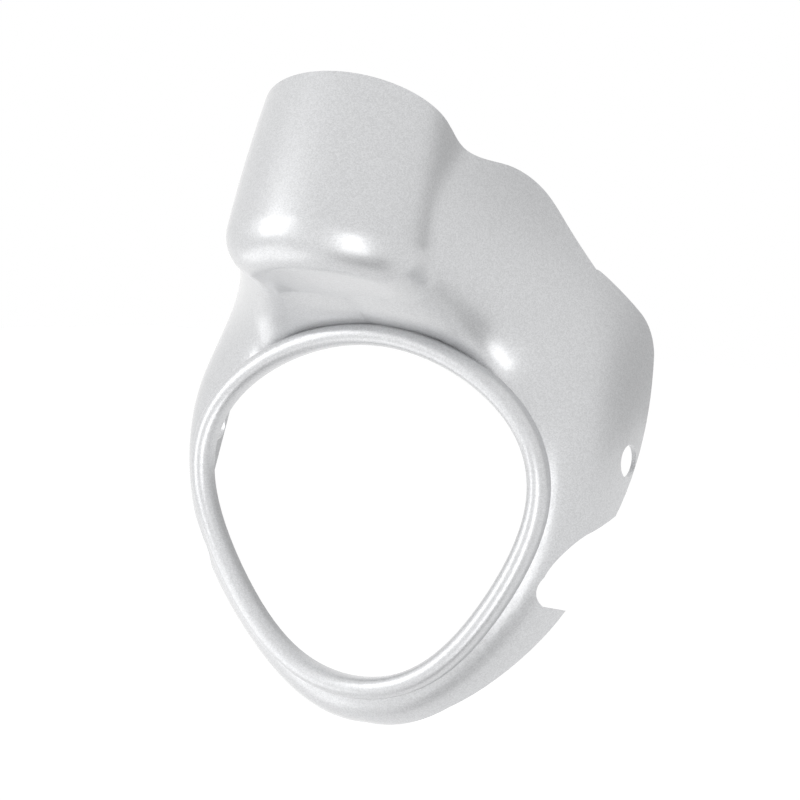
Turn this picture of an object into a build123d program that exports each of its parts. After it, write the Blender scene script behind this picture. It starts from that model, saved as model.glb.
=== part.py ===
from math import cos, hypot, radians, sin, tan
import os

from build123d import *

os.makedirs("parts", exist_ok=True)

# Frame: the lamp opening lies in the XZ plane with its centre at the origin.
# +X is to the right seen from the front, +Y goes back, +Z goes up.
# Lengths in millimetres, angles in degrees.

wall = 3.0

# Egg-shaped lamp opening: half height, half width and three terms that swell
# the upper part, flatten the top and fill the shoulders
opening_half_height = 98.3
opening_half_width = 101.0
egg_swell = 15.3
egg_flat = 1.9
egg_square = 4.5

# Rolled rim round the opening
rim_radius = 6.5
lip_depth = 4.0
rim_leg_depth = 6.5

# Mask round the rim. Each section stands square to the edge of the opening and
# has its own leaving angle, reach, depth, arriving angle and leaving pull.
mask_start_out = 11.3
mask_start_back = 3.2
brow = (160, 162, 10, 24, 1.3)
brow_side = (158, 160, 44, 30, 1.1)
high_shoulder = (130, 134, 84, 40, 0.6)
shoulder = (68.5, 88, 105, 18, 0.41)
upper_side = (69.5, 51, 105, 0.5, 0.37)
side = (71, 33.5, 105, -5, 0.28)
low_side = (69, 33.4, 105, -3.5, 0.32)
lower_side = (66.7, 33, 105, -2, 0.34)
chin_side = (80, 30, 105, 1, 0.34)
chin = (95.5, 27.5, 105, 4, 0.34)
arriving_pull = 0.36
mask_back = 125.0

# Hump over the lamp: a barrel that leans back, over a sloping underside with a
# rounded edge. The underside runs between two points in side view, as (y, z).
hump_half_width = 62.5
hump_nose_length = 48.5
hump_level = opening_half_height + 59.7
hump_rise = 220.0
hump_start = -56.3
hump_lean = 0.38
hump_flare_radius = 200.0
hump_flare_turn = 19.3
underside_front = (-112.0, opening_half_height + 51.7)
underside_back = (0.0, opening_half_height + 15.7)
hump_nose_radius = 24.0
hump_root_radius = 25.0

# Cut outline in side view, as (y, z), set out from the top and bottom of the opening
hump_edge_ahead = (-140.0, opening_half_height + 216.7)
hump_edge_front = (-64.0, opening_half_height + 156.7)
hump_edge_end = (-26.0, opening_half_height + 126.7)
kink = (-15.5, opening_half_height + 114.8)
shoulder_front = (6.9, opening_half_height + 108.4)
shoulder_mid = (26.7, opening_half_height + 95.3)
shoulder_end = (39.4, opening_half_height + 74.1)
dip = (54.5, opening_half_height + 51.0)
corner_start = (83.5, opening_half_height + 27.2)
corner_mid = (91.7, opening_half_height + 15.7)
corner_end = (93.7, opening_half_height + 1.7)
rear_mid = (79.5, 55.0)
rear_end = (52.5, 6.5)
notch_start = (30.0, -1.5)
notch_mid = (14.5, -12.5)
notch_deep = (9.7, -28.0)
notch_turn = (10.8, -40.0)
hook_start = (16.5, -46.0)
hook_tip = (35.0, -49.5)
chin_mid = (28.0, -opening_half_height + 18.3)
chin_low = (18.0, -opening_half_height - 13.7)
chin_end = (17.0, -opening_half_height - 51.7)
blank_margin = 25.0
cut_reach = 200.0

# Side holes
side_hole_radius = 9.8
side_hole_centre = (142.0, 60.0, 38.5)
side_hole_axis = (1.0, 0.03, -0.06)
side_hole_cut = 40.0


def egg_point(turn):
    a = radians(turn)
    reach = opening_half_width + egg_swell * cos(a) - egg_flat * cos(2 * a) - egg_square * cos(3 * a)
    return (sin(a) * reach, opening_half_height * cos(a))


def egg_plane(turn):
    x, z = egg_point(turn)
    ahead = egg_point(turn + 0.05)
    behind = egg_point(turn - 0.05)
    dx = ahead[0] - behind[0]
    dz = ahead[1] - behind[1]
    length = hypot(dx, dz)
    outward = (-dz / length, 0, dx / length)
    return Plane(origin=(x, 0, z), x_dir=outward, z_dir=(-dx / length, 0, -dz / length))


def step_along(angle, length):
    return Vector(length * sin(radians(angle)), length * cos(radians(angle)))


def mask_section(turn, leave, reach, depth, arrive, pull, inset):
    first = Vector(mask_start_out, mask_start_back) + step_along(leave - 90, inset)
    last = Vector(reach, depth) + step_along(arrive - 90, inset)
    span = hypot(reach - mask_start_out, depth - mask_start_back)
    shorter = inset * 4 / 3 * tan(radians(leave - arrive) / 4)
    second = first + step_along(leave, pull * span - shorter)
    third = last - step_along(arrive, arriving_pull * span - shorter)
    rear = mask_back + inset
    corners = [last, (last.X, rear), (first.X, rear), first]
    if inset > 0:
        clear = first.X - 2 * rim_radius
        corners = [last, (last.X, rear), (clear, rear), (clear, first.Y), first]
    with BuildSketch(egg_plane(turn)) as section:
        with BuildLine():
            Bezier(first, second, third, last)
            Polyline(*corners)
        make_face()
    return section.sketch


def mask_blank(inset):
    stations = [
        (-16, brow_side), (0, brow), (16, brow_side), (30.5, high_shoulder), (45, shoulder),
        (60, upper_side), (77.5, side), (96, low_side), (130, lower_side),
        (158, chin_side), (180, chin), (202, chin_side),
    ]
    with BuildPart() as blank:
        loft(sections=[mask_section(turn, *values, inset) for turn, values in stations])
        split(bisect_by=Plane.YZ, keep=Keep.TOP)
    return blank.part


def hump_body(inset):
    width = hump_half_width - inset
    nose = hump_nose_length - inset
    bell = hump_flare_radius + inset
    length = bell * sin(radians(hump_flare_turn))
    with BuildPart() as bullet:
        with BuildSketch(Plane.XY):
            with BuildLine():
                EllipticalCenterArc((0, 0), width, nose, start_angle=270, arc_size=90)
                flare = CenterArc((hump_half_width + hump_flare_radius, 0), bell, 180, -hump_flare_turn)
                Polyline(flare @ 1, (0, length), (0, -nose))
            make_face()
        revolve(axis=Axis.Y, revolution_arc=360)
        split(bisect_by=Plane.YZ, keep=Keep.TOP)
    stretch = (hump_rise - inset) / width
    barrel = Matrix([
        [1, 0, 0, 0],
        [0, 1, hump_lean * stretch, hump_start],
        [0, 0, stretch, hump_level],
        [0, 0, 0, 1],
    ])
    run = underside_back[0] - underside_front[0]
    fall = underside_front[1] - underside_back[1]
    underside = Plane(origin=(0, *underside_front), z_dir=(0, fall, run)).offset(inset)
    with BuildPart() as body:
        add(bullet.part.transform_geometry(barrel))
        split(bisect_by=underside, keep=Keep.TOP)
        low_edges = body.faces().sort_by(Axis.Z)[0].edges()
        outer_edges = low_edges.filter_by(lambda edge: edge.center().X > wall)
        fillet(outer_edges.sort_by(Axis.Y)[:-1], radius=hump_nose_radius - inset)
    return body.part


def full_form(inset):
    above_edge = Plane(
        origin=(0, hump_edge_front[0], hump_edge_front[1] + blank_margin),
        z_dir=(0, hump_edge_front[1] - hump_edge_end[1], hump_edge_end[0] - hump_edge_front[0]),
    )
    with BuildPart() as mask:
        add(mask_blank(inset))
        split(bisect_by=above_edge, keep=Keep.BOTTOM)
    with BuildPart() as hump:
        add(hump_body(inset))
        split(bisect_by=above_edge, keep=Keep.BOTTOM)
    with BuildPart() as form:
        add(mask.part)
        add(hump.part)
        fillet(form.edges(Select.NEW), radius=hump_root_radius + inset)
    return form.part


def side_outline():
    with BuildSketch(Plane.YZ) as outline:
        with BuildLine():
            Line(hump_edge_ahead, hump_edge_end)
            Spline(
                hump_edge_end, kink, shoulder_front, shoulder_mid, shoulder_end, dip, corner_start,
                tangents=[(38, -30), (16, -15)],
            )
            ThreePointArc(corner_start, corner_mid, corner_end)
            ThreePointArc(corner_end, rear_mid, rear_end)
            Line(rear_end, notch_start)
            ThreePointArc(notch_start, notch_mid, notch_deep)
            ThreePointArc(notch_deep, notch_turn, hook_start)
            Line(hook_start, hook_tip)
            ThreePointArc(hook_tip, chin_mid, chin_low)
            Polyline(chin_low, chin_end, (hump_edge_ahead[0], chin_end[1]), hump_edge_ahead)
        make_face()
    return outline.sketch


def rim_section(turn):
    outside = 2 * rim_radius
    inside = outside - wall
    with BuildSketch(egg_plane(turn)) as section:
        with BuildLine():
            RadiusArc((outside, 0), (0, 0), rim_radius)
            Polyline((0, 0), (0, lip_depth), (wall, lip_depth), (wall, 0))
            RadiusArc((wall, 0), (inside, 0), -(rim_radius - wall))
            Polyline((inside, 0), (inside, rim_leg_depth), (outside, rim_leg_depth), (outside, 0))
        make_face()
    return section.sketch


with BuildPart() as rim:
    loft(sections=[rim_section(turn) for turn in range(-15, 196, 15)])
    split(bisect_by=Plane.YZ, keep=Keep.TOP)

with BuildPart() as half:
    add(full_form(0))
    add(full_form(wall), mode=Mode.SUBTRACT)
    extrude(side_outline(), amount=cut_reach, mode=Mode.INTERSECT)
    add(rim.part)
    with Locations(Plane(origin=side_hole_centre, z_dir=side_hole_axis)):
        Cylinder(side_hole_radius, side_hole_cut, mode=Mode.SUBTRACT)

with BuildPart() as headlight_cowl:
    add(half.part)
    mirror(about=Plane.YZ)

headlight_cowl.part.label = "headlight_cowl"
export_step(headlight_cowl.part, "parts/headlight_cowl.step")
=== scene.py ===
import math

import bpy
from mathutils import Matrix, Vector


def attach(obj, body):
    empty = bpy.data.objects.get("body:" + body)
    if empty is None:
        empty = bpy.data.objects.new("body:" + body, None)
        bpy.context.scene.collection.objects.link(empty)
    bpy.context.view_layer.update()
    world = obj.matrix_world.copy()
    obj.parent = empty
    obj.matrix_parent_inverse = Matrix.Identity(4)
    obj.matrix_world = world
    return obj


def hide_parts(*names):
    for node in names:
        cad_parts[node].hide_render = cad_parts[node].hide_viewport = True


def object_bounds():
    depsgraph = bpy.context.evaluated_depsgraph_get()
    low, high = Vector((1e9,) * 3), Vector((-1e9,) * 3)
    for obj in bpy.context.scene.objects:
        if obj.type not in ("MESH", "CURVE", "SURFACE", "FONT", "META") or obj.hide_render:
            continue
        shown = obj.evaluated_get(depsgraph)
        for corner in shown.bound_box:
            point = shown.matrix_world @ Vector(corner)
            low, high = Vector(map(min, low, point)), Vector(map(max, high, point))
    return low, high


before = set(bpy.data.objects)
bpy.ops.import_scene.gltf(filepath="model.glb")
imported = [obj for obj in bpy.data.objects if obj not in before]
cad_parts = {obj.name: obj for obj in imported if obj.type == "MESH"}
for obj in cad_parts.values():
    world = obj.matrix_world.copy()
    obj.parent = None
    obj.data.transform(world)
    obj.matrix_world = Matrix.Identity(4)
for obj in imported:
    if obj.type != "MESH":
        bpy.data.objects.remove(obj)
CAD_LOW, CAD_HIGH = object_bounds()
COWL_MIDDLE = (CAD_LOW + CAD_HIGH) / 2

bl_info = {
    "name": "Headlight Cowl",
    "version": (1, 0, 0),
    "blender": (4, 5, 0),
    "location": "View3D > Sidebar > Cowl",
    "description": "Paints a one-piece motorbike headlight cowl and sets its studio",
    "category": "Object",
}

COWL_NODE = "headlight_cowl"

# Paint: refraction of the clear coat, and how far a flake's roughness strays
COAT_IOR = 1.5
FLAKE_ROUGHNESS_STRAY = 0.05

# Camera that took the photograph: its place, its three directions and its sensor in millimetres
CAMERA_PLACE = Vector((0.7565, -1.4013, 0.1698))
CAMERA_RIGHT = Vector((0.88295, 0.46690, 0.04907))
CAMERA_UP = Vector((-0.07344, 0.03412, 0.99672))
CAMERA_BACK = Vector((0.46368, -0.88365, 0.06441))
SENSOR_WIDTH = 36.0

# Edges of the floor: left, right, front and rear
FLOOR_EDGES = (-6.0, 6.0, -0.05, 9.0)

# Soft boxes: name, azimuth, elevation, distance, width, height and radiance
SOFT_BOXES = (
    ("left_box", -44.0, 12.0, 2.0, 0.9, 1.6, 1.8),
    ("right_box", 22.0, -20.0, 2.4, 0.9, 2.2, 2.0),
    ("low_box", -68.0, -40.0, 0.6, 0.6, 0.35, 0.7),
)

# Dimmer sides of the room: azimuth, elevation, cosines at the edge and in the middle, share left
DIM_SIDES = (
    (34.0, -62.0, 0.86, 0.98, 0.4),
    (150.0, 20.0, 0.7, 1.0, 0.5),
)


# Properties that a user would change

class CowlPaint(bpy.types.PropertyGroup):
    """Silver metallic paint under a clear coat."""

    silver: bpy.props.FloatVectorProperty(
        name="Silver",
        description="Colour of the metallic base coat",
        subtype="COLOR",
        default=(0.59, 0.595, 0.605),
        min=0.0,
        max=1.0,
    )
    metallic: bpy.props.FloatProperty(
        name="Metallic",
        description="How much of the base coat shines like metal",
        subtype="FACTOR",
        default=0.75,
        min=0.0,
        max=1.0,
    )
    base_roughness: bpy.props.FloatProperty(
        name="Base roughness",
        description="Spread of the shine from the metal flakes",
        subtype="FACTOR",
        default=0.38,
        min=0.0,
        max=1.0,
    )
    coat_roughness: bpy.props.FloatProperty(
        name="Coat roughness",
        description="Spread of the reflections in the clear coat",
        subtype="FACTOR",
        default=0.16,
        min=0.0,
        max=1.0,
    )
    flake_size: bpy.props.FloatProperty(
        name="Flake size",
        description="Width of one glint in the paint",
        subtype="DISTANCE",
        default=0.0006,
        min=0.0001,
        max=0.01,
    )
    flake_contrast: bpy.props.FloatProperty(
        name="Flake contrast",
        description="Difference between the bright and the dull flakes",
        subtype="FACTOR",
        default=0.1,
        min=0.0,
        max=1.0,
    )


class CowlSkin(bpy.types.PropertyGroup):
    """How the shell's mesh is joined and shaded."""

    join_distance: bpy.props.FloatProperty(
        name="Join distance",
        description="Corners closer than this become one",
        subtype="DISTANCE",
        default=0.00002,
        min=0.0,
        max=0.001,
    )
    edge_angle: bpy.props.FloatProperty(
        name="Edge angle",
        description="Faces that meet at more than this keep a crisp edge",
        subtype="ANGLE",
        default=math.radians(38.0),
        min=0.0,
        max=math.pi,
    )


class CowlStudio(bpy.types.PropertyGroup):
    """Camera, floor and lamps."""

    lens: bpy.props.FloatProperty(
        name="Lens",
        description="Focal length in millimetres on a 36 mm sensor",
        default=122.0,
        min=20.0,
        max=400.0,
    )
    floor_level: bpy.props.FloatProperty(
        name="Floor level",
        description="Height of the floor under the cowl",
        subtype="DISTANCE",
        default=-0.34,
        max=-0.13,
    )
    floor_colour: bpy.props.FloatVectorProperty(
        name="Floor",
        description="Colour of the floor, which takes the cowl's shadow",
        subtype="COLOR",
        default=(0.85, 0.85, 0.85),
        min=0.0,
        max=1.0,
    )
    floor_glow: bpy.props.FloatProperty(
        name="Floor glow",
        description="Part of the floor's white that the lamps don't give",
        default=0.2,
        min=0.0,
        max=1.0,
    )
    fill: bpy.props.FloatProperty(
        name="Fill",
        description="Brightness of the light from all round",
        default=1.0,
        min=0.0,
        max=2.0,
    )


# Shared helpers

def smooth_shell_tree(material):
    """Nodes that join the loose triangles of the shell and shade them smooth."""
    tree = bpy.data.node_groups.new("smooth_shell", "GeometryNodeTree")
    sockets = tree.interface
    sockets.new_socket("Geometry", in_out="INPUT", socket_type="NodeSocketGeometry")
    sockets.new_socket("Join Distance", in_out="INPUT", socket_type="NodeSocketFloat")
    sockets.new_socket("Edge Angle", in_out="INPUT", socket_type="NodeSocketFloat")
    sockets.new_socket("Geometry", in_out="OUTPUT", socket_type="NodeSocketGeometry")
    nodes, links = tree.nodes, tree.links
    start = nodes.new("NodeGroupInput")
    join = nodes.new("GeometryNodeMergeByDistance")
    links.new(start.outputs["Geometry"], join.inputs["Geometry"])
    links.new(start.outputs["Join Distance"], join.inputs["Distance"])
    all_smooth = nodes.new("GeometryNodeSetShadeSmooth")
    links.new(join.outputs["Geometry"], all_smooth.inputs["Geometry"])
    fold = nodes.new("GeometryNodeInputMeshEdgeAngle")
    gentle = nodes.new("FunctionNodeCompare")
    gentle.operation = "LESS_EQUAL"
    links.new(fold.outputs["Unsigned Angle"], gentle.inputs["A"])
    links.new(start.outputs["Edge Angle"], gentle.inputs["B"])
    edges = nodes.new("GeometryNodeSetShadeSmooth")
    edges.domain = "EDGE"
    links.new(all_smooth.outputs["Geometry"], edges.inputs["Geometry"])
    links.new(gentle.outputs["Result"], edges.inputs["Shade Smooth"])
    real = nodes.new("GeometryNodeRealizeInstances")
    links.new(edges.outputs["Geometry"], real.inputs["Geometry"])
    paint = nodes.new("GeometryNodeSetMaterial")
    paint.inputs["Material"].default_value = material
    links.new(real.outputs["Geometry"], paint.inputs["Geometry"])
    end = nodes.new("NodeGroupOutput")
    links.new(paint.outputs["Geometry"], end.inputs["Geometry"])
    return tree


def input_id(tree, name):
    """Identifier of the tree's input with this name."""
    for item in tree.interface.items_tree:
        if item.item_type == "SOCKET" and item.in_out == "INPUT" and item.name == name:
            return item.identifier
    raise KeyError(name)


def bake_nodes(source, tree, values, name):
    """A plain object whose mesh is the tree's result on the source object."""
    modifier = source.modifiers.new("nodes", "NODES")
    modifier.node_group = tree
    for label, value in values.items():
        modifier[input_id(tree, label)] = value
    depsgraph = bpy.context.evaluated_depsgraph_get()
    mesh = bpy.data.meshes.new_from_object(source.evaluated_get(depsgraph))
    mesh.name = name
    made = bpy.data.objects.new(name, mesh)
    bpy.context.collection.objects.link(made)
    source.modifiers.remove(modifier)
    return made


def silver_paint(values):
    """Metallic base coat with fine flakes, under a clear coat."""
    material = bpy.data.materials.new("silver_paint")
    material.use_nodes = True
    nodes, links = material.node_tree.nodes, material.node_tree.links
    shader = nodes["Principled BSDF"]
    shader.inputs["Metallic"].default_value = values.metallic
    shader.inputs["Coat Weight"].default_value = 1.0
    shader.inputs["Coat Roughness"].default_value = values.coat_roughness
    shader.inputs["Coat IOR"].default_value = COAT_IOR
    place = nodes.new("ShaderNodeTexCoord")

    flakes = nodes.new("ShaderNodeTexVoronoi")
    flakes.inputs["Scale"].default_value = 1.0 / values.flake_size
    links.new(place.outputs["Object"], flakes.inputs["Vector"])
    shade = nodes.new("ShaderNodeSeparateColor")
    links.new(flakes.outputs["Color"], shade.inputs["Color"])

    dull = tuple(c * (1.0 - values.flake_contrast) for c in values.silver)
    bright = tuple(min(1.0, c * (1.0 + values.flake_contrast)) for c in values.silver)
    tint = nodes.new("ShaderNodeMix")
    tint.data_type = "RGBA"
    tint.inputs["A"].default_value = (*dull, 1.0)
    tint.inputs["B"].default_value = (*bright, 1.0)
    links.new(shade.outputs["Red"], tint.inputs["Factor"])
    links.new(tint.outputs["Result"], shader.inputs["Base Color"])

    spread = nodes.new("ShaderNodeMapRange")
    spread.inputs["To Min"].default_value = values.base_roughness - FLAKE_ROUGHNESS_STRAY
    spread.inputs["To Max"].default_value = values.base_roughness + FLAKE_ROUGHNESS_STRAY
    links.new(shade.outputs["Green"], spread.inputs["Value"])
    links.new(spread.outputs["Result"], shader.inputs["Roughness"])
    return material


def floor_paint(values):
    """White for the camera and in reflections, with the cowl's shadow on it."""
    material = bpy.data.materials.new("floor_white")
    material.use_nodes = True
    nodes, links = material.node_tree.nodes, material.node_tree.links
    nodes.clear()
    path = nodes.new("ShaderNodeLightPath")
    seen = path.outputs["Is Camera Ray"]
    for ray in ("Is Glossy Ray", "Is Transmission Ray"):
        either = nodes.new("ShaderNodeMath")
        either.operation = "MAXIMUM"
        links.new(seen, either.inputs[0])
        links.new(path.outputs[ray], either.inputs[1])
        seen = either.outputs["Value"]
    strength = nodes.new("ShaderNodeMath")
    strength.operation = "MULTIPLY"
    links.new(seen, strength.inputs[0])
    strength.inputs[1].default_value = values.floor_glow
    lit = nodes.new("ShaderNodeBsdfDiffuse")
    lit.inputs["Color"].default_value = (*values.floor_colour, 1.0)
    glow = nodes.new("ShaderNodeEmission")
    links.new(strength.outputs["Value"], glow.inputs["Strength"])
    both = nodes.new("ShaderNodeAddShader")
    links.new(lit.outputs["BSDF"], both.inputs[0])
    links.new(glow.outputs["Emission"], both.inputs[1])
    out = nodes.new("ShaderNodeOutputMaterial")
    links.new(both.outputs["Shader"], out.inputs["Surface"])
    return material


def facing(azimuth, elevation):
    """Direction away from the cowl. Azimuth 0 is straight ahead of it, 90 its right."""
    turn, lift = math.radians(azimuth), math.radians(elevation)
    level = math.cos(lift)
    return Vector((math.sin(turn) * level, -math.cos(turn) * level, math.sin(lift)))


def room_light(values):
    """White from all round, dimmer where the studio has no white wall or paper."""
    world = bpy.data.worlds.new("studio")
    world.use_nodes = True
    nodes, links = world.node_tree.nodes, world.node_tree.links
    place = nodes.new("ShaderNodeTexCoord")
    level = None
    for azimuth, elevation, edge, middle, share in DIM_SIDES:
        near = nodes.new("ShaderNodeVectorMath")
        near.operation = "DOT_PRODUCT"
        links.new(place.outputs["Generated"], near.inputs[0])
        near.inputs[1].default_value = facing(azimuth, elevation)
        dim = nodes.new("ShaderNodeMapRange")
        dim.interpolation_type = "SMOOTHSTEP"
        dim.inputs["From Min"].default_value = edge
        dim.inputs["From Max"].default_value = middle
        dim.inputs["To Min"].default_value = values.fill
        dim.inputs["To Max"].default_value = values.fill * share
        links.new(near.outputs["Value"], dim.inputs["Value"])
        if level is None:
            level = dim.outputs["Result"]
            continue
        least = nodes.new("ShaderNodeMath")
        least.operation = "MINIMUM"
        links.new(level, least.inputs[0])
        links.new(dim.outputs["Result"], least.inputs[1])
        level = least.outputs["Value"]
    back = nodes["Background"]
    back.inputs["Color"].default_value = (1.0, 1.0, 1.0, 1.0)
    links.new(level, back.inputs["Strength"])
    return world


def add_softbox(name, azimuth, elevation, distance, width, height, radiance):
    """A soft box that faces the cowl."""
    away = facing(azimuth, elevation)
    lamp = bpy.data.lights.new(name, "AREA")
    lamp.shape = "RECTANGLE"
    lamp.size = width
    lamp.size_y = height
    lamp.energy = radiance * math.pi * width * height
    made = bpy.data.objects.new(name, lamp)
    bpy.context.collection.objects.link(made)
    made.location = COWL_MIDDLE + away * distance
    made.rotation_euler = (-away).to_track_quat("-Z", "Y").to_euler()
    made.visible_camera = False


# Operators

class COWL_OT_shell(bpy.types.Operator):
    """Join the shell's triangles, shade it smooth and paint it silver"""

    bl_idname = "cowl.shell"
    bl_label = "Painted Shell"

    def execute(self, context):
        scene = context.scene
        skin = scene.cowl_skin
        source = bpy.data.objects.new("shell_source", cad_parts[COWL_NODE].data.copy())
        context.collection.objects.link(source)
        source.data.materials.clear()
        paint = silver_paint(scene.cowl_paint)
        tree = smooth_shell_tree(paint)
        values = {"Join Distance": skin.join_distance, "Edge Angle": skin.edge_angle}
        shell = bake_nodes(source, tree, values, "painted_shell")
        bpy.data.objects.remove(source)
        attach(shell, "root")
        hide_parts(COWL_NODE)
        return {"FINISHED"}


class COWL_OT_studio(bpy.types.Operator):
    """Set the floor, the lamps and the camera"""

    bl_idname = "cowl.studio"
    bl_label = "Studio"

    def execute(self, context):
        scene = context.scene
        studio = scene.cowl_studio
        scene.view_settings.view_transform = "Standard"
        self.make_floor(context, studio)
        self.make_light(context, studio)
        self.make_camera(context, studio)
        return {"FINISHED"}

    def make_floor(self, context, studio):
        left, right, front, rear = FLOOR_EDGES
        corners = [(left, front), (right, front), (right, rear), (left, rear)]
        mesh = bpy.data.meshes.new("floor")
        mesh.from_pydata([(x, y, studio.floor_level) for x, y in corners], [], [(0, 1, 2, 3)])
        mesh.materials.append(floor_paint(studio))
        floor = bpy.data.objects.new("floor", mesh)
        context.collection.objects.link(floor)

    def make_light(self, context, studio):
        context.scene.world = room_light(studio)
        for box in SOFT_BOXES:
            add_softbox(*box)

    def make_camera(self, context, studio):
        lens = bpy.data.cameras.new("camera")
        lens.lens = studio.lens
        lens.sensor_width = SENSOR_WIDTH
        camera = bpy.data.objects.new("camera", lens)
        context.collection.objects.link(camera)
        turn = Matrix((CAMERA_RIGHT, CAMERA_UP, CAMERA_BACK)).transposed().to_4x4()
        camera.matrix_world = Matrix.Translation(CAMERA_PLACE) @ turn
        context.scene.camera = camera


class COWL_PT_sidebar(bpy.types.Panel):
    """Buttons and sizes of the headlight cowl"""

    bl_idname = "COWL_PT_sidebar"
    bl_label = "Headlight Cowl"
    bl_space_type = "VIEW_3D"
    bl_region_type = "UI"
    bl_category = "Cowl"

    def draw(self, context):
        for group in ("cowl_skin", "cowl_paint", "cowl_studio"):
            box = self.layout.box()
            values = getattr(context.scene, group)
            for name in values.bl_rna.properties.keys():
                if name not in {"rna_type", "name"}:
                    box.prop(values, name)
        self.layout.operator(COWL_OT_shell.bl_idname)
        self.layout.operator(COWL_OT_studio.bl_idname)


CLASSES = (
    CowlPaint,
    CowlSkin,
    CowlStudio,
    COWL_OT_shell,
    COWL_OT_studio,
    COWL_PT_sidebar,
)


def register():
    for cls in CLASSES:
        bpy.utils.register_class(cls)
    bpy.types.Scene.cowl_paint = bpy.props.PointerProperty(type=CowlPaint)
    bpy.types.Scene.cowl_skin = bpy.props.PointerProperty(type=CowlSkin)
    bpy.types.Scene.cowl_studio = bpy.props.PointerProperty(type=CowlStudio)


def unregister():
    del bpy.types.Scene.cowl_studio
    del bpy.types.Scene.cowl_skin
    del bpy.types.Scene.cowl_paint
    for cls in reversed(CLASSES):
        bpy.utils.unregister_class(cls)


def main():
    register()
    bpy.ops.cowl.shell()
    bpy.ops.cowl.studio()


if __name__ == "__main__":
    main()
